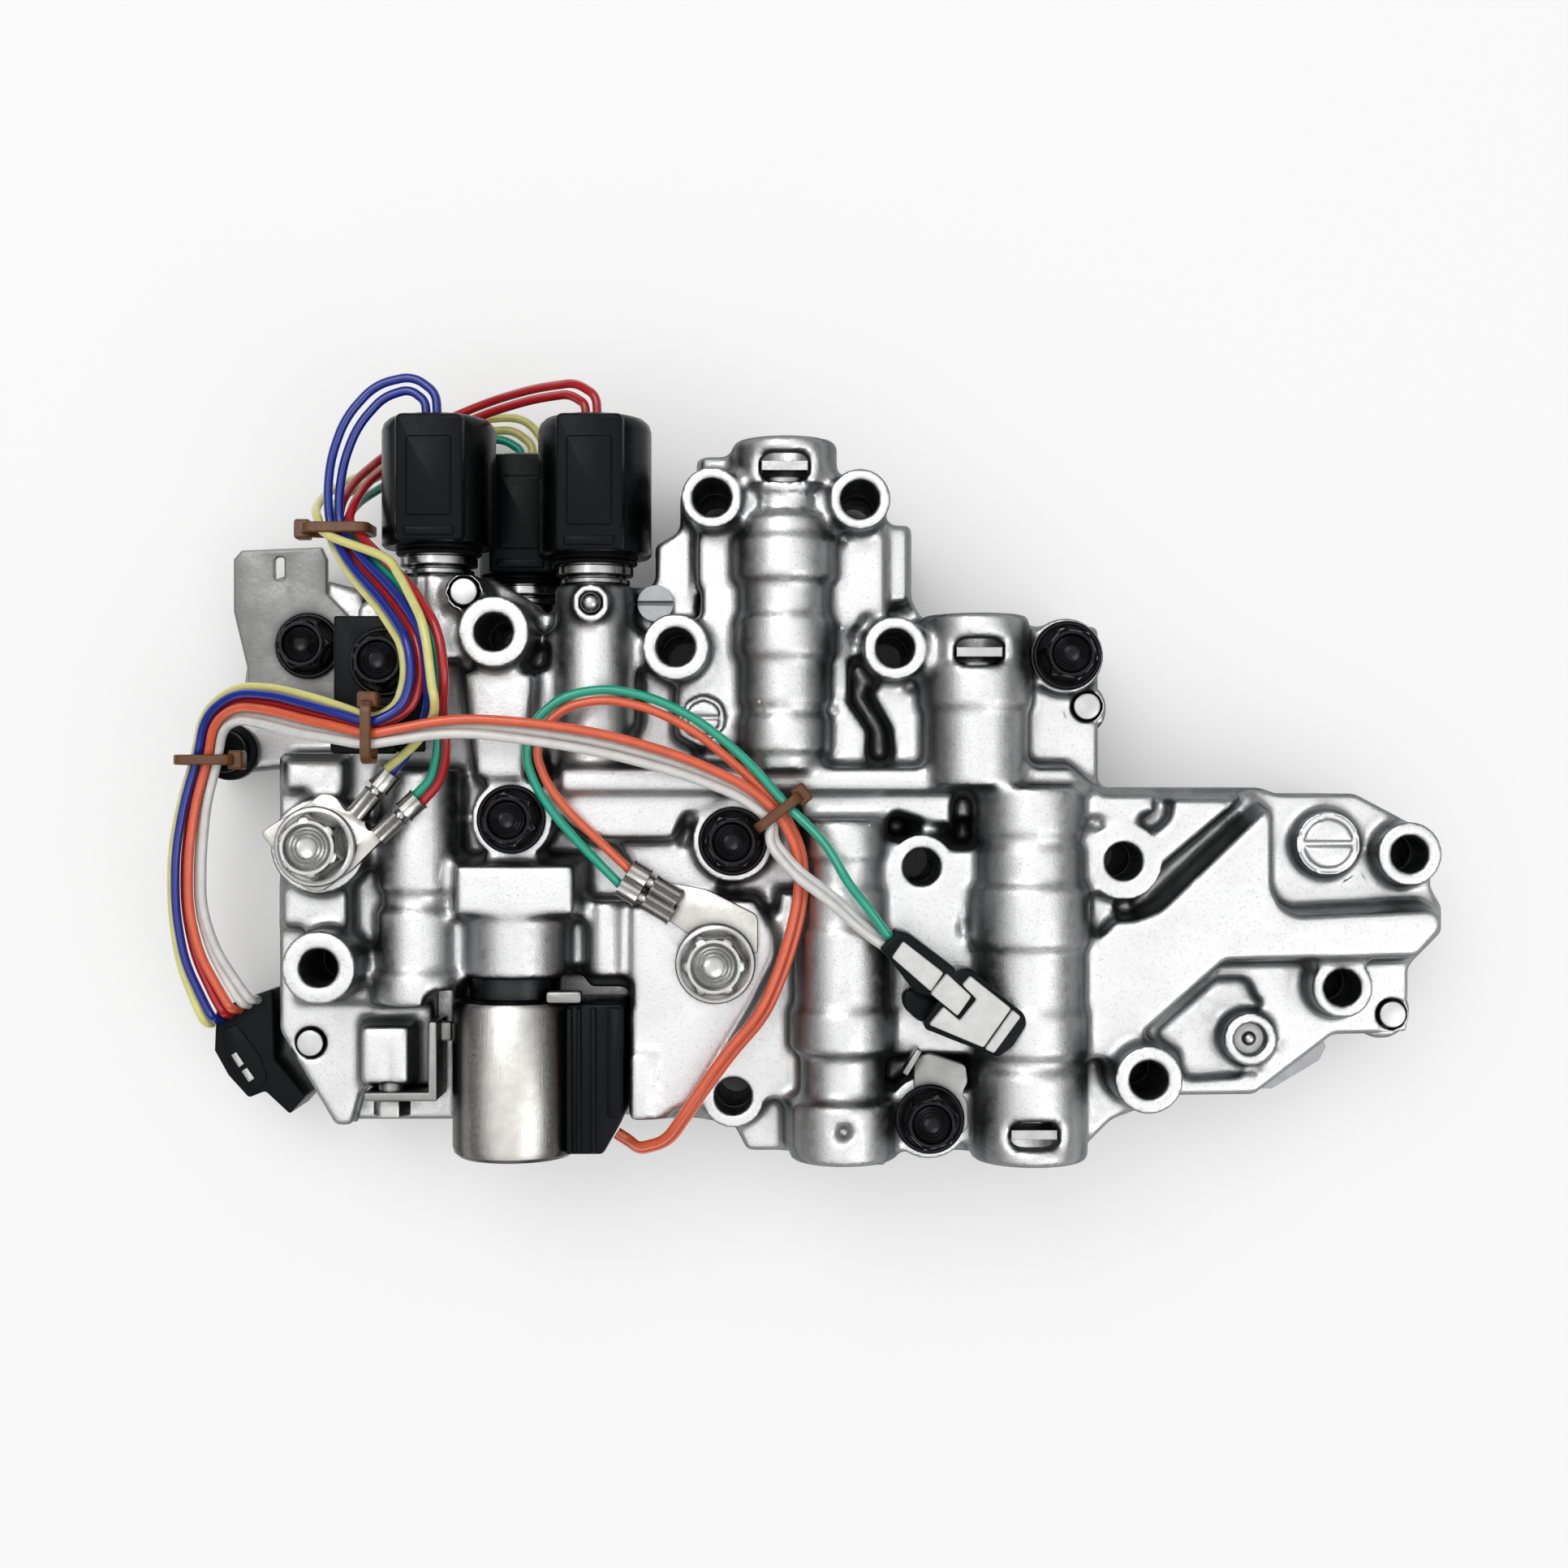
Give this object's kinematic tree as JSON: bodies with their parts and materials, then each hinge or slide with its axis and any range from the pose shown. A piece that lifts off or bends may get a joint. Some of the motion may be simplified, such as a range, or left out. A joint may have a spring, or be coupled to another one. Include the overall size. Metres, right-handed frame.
{
  "type": "transmission valve body",
  "caption": "Cast hydraulic control block of an automatic gearbox with sliding valves, solenoids, flange bolts and a tied wiring harness.",
  "frame": {"origin": "axis of the bolt bore beside the middle of the block, on the face that seals on the gearbox", "axes": "+X along the block towards its long nose, +Y towards the three solenoids, +Z out of the gearbox towards the harness"},
  "size_m": [0.2282, 0.1375, 0.0476],
  "materials": {
    "cast_aluminium": "as cast, machined on its flats",
    "bracket_steel": "plated sheet",
    "plate_steel": "rolled sheet",
    "black_steel": "glossy black oxide",
    "bright_steel": "zinc plated",
    "valve_steel": "ground",
    "can_steel": "plated, stained",
    "coil_plastic": "moulded",
    "connector_black": "moulded",
    "connector_grey": "moulded",
    "brass": "plated",
    "tie_brown": "translucent nylon",
    "wire_yellow": "insulation",
    "wire_blue": "insulation",
    "wire_red": "insulation",
    "wire_green": "insulation",
    "wire_orange": "insulation",
    "wire_white": "insulation"
  },
  "bodies": {
    "valve_body": {"upper_casting": "cast_aluminium", "lower_casting": "cast_aluminium", "separator_plate": "plate_steel", "side_bracket": "bracket_steel", "clamp_bracket": "bracket_steel", "clamp_screw": "bright_steel", "sensor_plate": "bracket_steel", "sensor_bracket": "bracket_steel", "sensor_block": "connector_black", "black_flange_bolts": "black_steel", "silver_flange_bolts": "bright_steel", "shoulder_washer": "bright_steel", "underside_bolts": "bright_steel", "dowel_pins": "valve_steel", "check_ball": "valve_steel", "orifice_plug": "valve_steel", "slotted_screw": "bright_steel", "bore_plugs": "valve_steel", "retainer_plates": "bracket_steel", "plug_pin": "valve_steel", "solenoid_d_can": "can_steel", "solenoid_d_nose": "can_steel", "solenoid_d_connector": "connector_black", "left_connector": "connector_black", "pressure_switch": "connector_black", "harness_plug": "connector_grey", "plug_latch": "connector_grey", "sensor_socket": "connector_grey", "twin_terminal": "brass", "single_terminal": "brass", "cable_ties": "tie_brown", "solenoid_a_nose": "can_steel", "solenoid_a_shell": "can_steel", "solenoid_a_coil": "coil_plastic", "solenoid_b_nose": "can_steel", "solenoid_b_shell": "can_steel", "solenoid_b_coil": "coil_plastic", "solenoid_c_nose": "can_steel", "solenoid_c_shell": "can_steel", "solenoid_c_coil": "coil_plastic", "wires_yellow": "wire_yellow", "wires_blue": "wire_blue", "wires_red": "wire_red", "wires_green": "wire_green", "wires_orange": "wire_orange", "wires_white": "wire_white", "pressure_spring": "valve_steel", "clutch_spring": "valve_steel", "ratio_spring": "valve_steel", "manual_spring": "valve_steel"},
    "pressure_valve": {"pressure_spool": "valve_steel"},
    "clutch_valve": {"clutch_spool": "valve_steel"},
    "ratio_valve": {"ratio_spool": "valve_steel"},
    "manual_valve": {"manual_spool": "valve_steel"}
  },
  "joints": [
    {"name": "pressure_valve_slide", "type": "slide", "parent": "valve_body", "child": "pressure_valve", "axis": [0, 1, 0], "range_m": [0, 0.004], "stiffness_N_per_m": 600, "springref_m": -0.003, "deforming": ["pressure_spring"]},
    {"name": "clutch_valve_slide", "type": "slide", "parent": "valve_body", "child": "clutch_valve", "axis": [0, 1, 0], "range_m": [0, 0.0016], "stiffness_N_per_m": 600, "springref_m": -0.003, "deforming": ["clutch_spring"]},
    {"name": "ratio_valve_slide", "type": "slide", "parent": "valve_body", "child": "ratio_valve", "axis": [0, -1, 0], "range_m": [0, 0.004], "stiffness_N_per_m": 600, "springref_m": -0.003, "deforming": ["ratio_spring"]},
    {"name": "manual_valve_slide", "type": "slide", "parent": "valve_body", "child": "manual_valve", "axis": [0, -1, 0], "range_m": [0, 0.004], "stiffness_N_per_m": 600, "springref_m": -0.003, "deforming": ["manual_spring"]}
  ]
}
